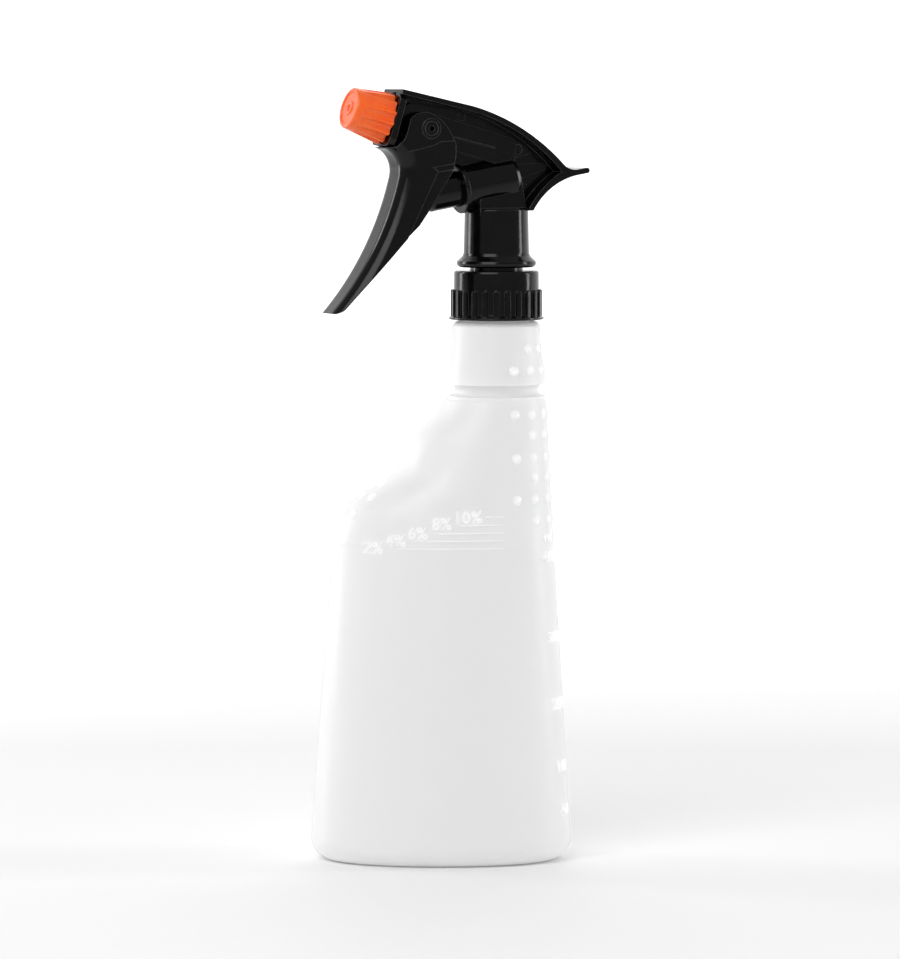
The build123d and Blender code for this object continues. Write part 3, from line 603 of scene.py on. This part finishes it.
def bar(half_length):
    """Vertices and faces of a plain line of the scale, in the same form as the lettering."""
    low, high = -LINE_HALF_WIDTH, LINE_HALF_WIDTH
    vertices, faces = [], []
    for step in range(LINE_STEPS + 1):
        x = half_length * (2 * step / LINE_STEPS - 1)
        ring = ((low, -0.5), (high, -0.5), (high, 0.5), (low, 0.5))
        vertices += [Vector((x, y, depth)) for y, depth in ring]
    join_rings(faces, 0, 4, LINE_STEPS)
    faces += [(3, 2, 1, 0), tuple(4 * LINE_STEPS + corner for corner in range(4))]
    return vertices, faces


def lay(shape, origin, rightward, inward, vertices, faces):
    """Lay flat relief on the bottle: its x runs rightward, and rays carry it inward to the wall."""
    first = len(vertices)
    for point in shape[0]:
        start = origin + rightward * point.x + Vector((0, 0, point.y))
        hit, normal = touch(start, inward)
        vertices.append(hit + normal * (RELIEF if point.z > 0 else -ROOT))
    faces += [tuple(first + index for index in face) for face in shape[1]]


# mixing scale: words, their middle, their foot, then the line's left end and height
DOSES = (
    ("10%", -10.2, 123.3, -3.8, 125.4),
    ("8%", -19.4, 121.0, -13.1, 122.5),
    ("6%", -28.0, 117.7, -21.0, 119.7),
    ("4%", -35.8, 115.0, -28.5, 117.0),
    ("2%", -43.9, 112.2, -36.3, 114.2),
)
DOSE_LINE_END = 2.0
VOLUMES = (("50", 17.0), ("100", 32.8), ("200", 55.3), ("300", 79.4), ("400", 108.4), ("ml", 115.5))
VOLUME_ACROSS = -9.5


def dose_scale():
    """Raised mixing scale on the near side: a percentage and a line for each step."""
    vertices, faces = [], []
    rightward, inward = Vector((1, 0, 0)), Vector((0, 1, 0))
    for words, middle, foot, left, height in DOSES:
        origin = Vector((NECK.x + middle * MM, -OUTSIDE, foot * MM))
        lay(flat_text(words, DOSE_SIZE), origin, rightward, inward, vertices, faces)
        half = (DOSE_LINE_END - left) / 2
        origin = Vector((NECK.x + (left + half) * MM, -OUTSIDE, height * MM))
        lay(bar(half * MM), origin, rightward, inward, vertices, faces)
    bottle_piece("dose_scale", vertices, faces)


def volume_scale():
    """Raised millilitre numbers up the back edge."""
    vertices, faces = [], []
    rightward, inward = Vector((0, 1, 0)), Vector((-1, 0, 0))
    for words, foot in VOLUMES:
        origin = Vector((OUTSIDE, NECK.y + VOLUME_ACROSS * MM, foot * MM))
        lay(flat_text(words, VOLUME_SIZE), origin, rightward, inward, vertices, faces)
    bottle_piece("volume_scale", vertices, faces)


SEAM_WIDTH = 0.5 * MM
SEAM_HEIGHT = 0.12 * MM
SEAM_BOTTOM, SEAM_TOP, SEAM_STEP = 5.0, 191.0, 1.5


def parting_line():
    """The mould's fine parting line up the front and the back."""
    vertices, faces = [], []
    steps = int((SEAM_TOP - SEAM_BOTTOM) / SEAM_STEP)
    sideways = Vector((0, SEAM_WIDTH / 2, 0))
    for forward in (Vector((-1, 0, 0)), Vector((1, 0, 0))):
        first = len(vertices)
        last = first + 3 * steps
        for step in range(steps + 1):
            height = (SEAM_BOTTOM + SEAM_STEP * step) * MM
            start = Vector((NECK.x, NECK.y, height)) + forward * OUTSIDE
            hit, normal = touch(start, -forward)
            root = hit - normal * ROOT
            vertices += [root - sideways, hit + normal * SEAM_HEIGHT, root + sideways]
        join_rings(faces, first, 3, steps)
        faces += [(first, first + 1, first + 2), (last + 2, last + 1, last)]
    bottle_piece("parting_line", vertices, faces)


# ---------------------------------------------------------------- wire springs along their joints


def axis_of(joint):
    """A joint's direction."""
    found = next(entry for entry in frame["record"]["behaviour"]["joints"] if entry["name"] == joint)
    return Vector(found["axis"]).normalized()


WIRE_SIDES = 10
STEPS_A_TURN = 24


def measure_coil(node, middle, direction):
    """Where a CAD spring starts and ends along its axis, and how far out it reaches."""
    offsets = [vertex.co - middle for vertex in frame["nodes"][node].data.vertices]
    along = [offset.dot(direction) for offset in offsets]
    out = max((offset - direction * a).length for offset, a in zip(offsets, along))
    return min(along), max(along), out


def coil(name, node, joint, wire, turns):
    """A wire spring in place of a CAD one, wound along its joint's axis."""
    low, high = (Vector(corner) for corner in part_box(node))
    middle = (low + high) / 2
    direction = axis_of(joint)
    near, far, out = measure_coil(node, middle, direction)
    start = near + wire / 2
    length = far - near - wire
    radius = out - wire / 2
    across = direction.orthogonal().normalized()
    other = direction.cross(across)
    vertices, faces = [], []
    steps = turns * STEPS_A_TURN
    slope = length / (2 * math.pi * radius * turns)
    for step in range(steps + 1):
        angle = 2 * math.pi * step / STEPS_A_TURN
        outward = across * math.cos(angle) + other * math.sin(angle)
        circling = other * math.cos(angle) - across * math.sin(angle)
        upward = (circling + direction * slope).normalized().cross(outward)
        centre = middle + direction * (start + length * step / steps) + outward * radius
        for side in range(WIRE_SIDES):
            turn = 2 * math.pi * side / WIRE_SIDES
            spread = outward * math.cos(turn) + upward * math.sin(turn)
            vertices.append(centre + spread * wire / 2)
    join_rings(faces, 0, WIRE_SIDES, steps)
    faces.append(tuple(range(WIRE_SIDES))[::-1])
    faces.append(tuple(steps * WIRE_SIDES + side for side in range(WIRE_SIDES)))
    piece = link(name, mesh_of(name, vertices, faces, MATERIALS["spring_steel"]))
    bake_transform(piece)
    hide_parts(node)


set_camera()
make_floor()
set_lights()
dress_frame()
grip_bumps()
shoulder_bumps()
dose_scale()
volume_scale()
parting_line()
coil("return_coil", "return_spring", "piston_slide", 0.8 * MM, 9)
coil("valve_coil", "outlet_valve_spring", "outlet_valve_lift", 0.4 * MM, 8)
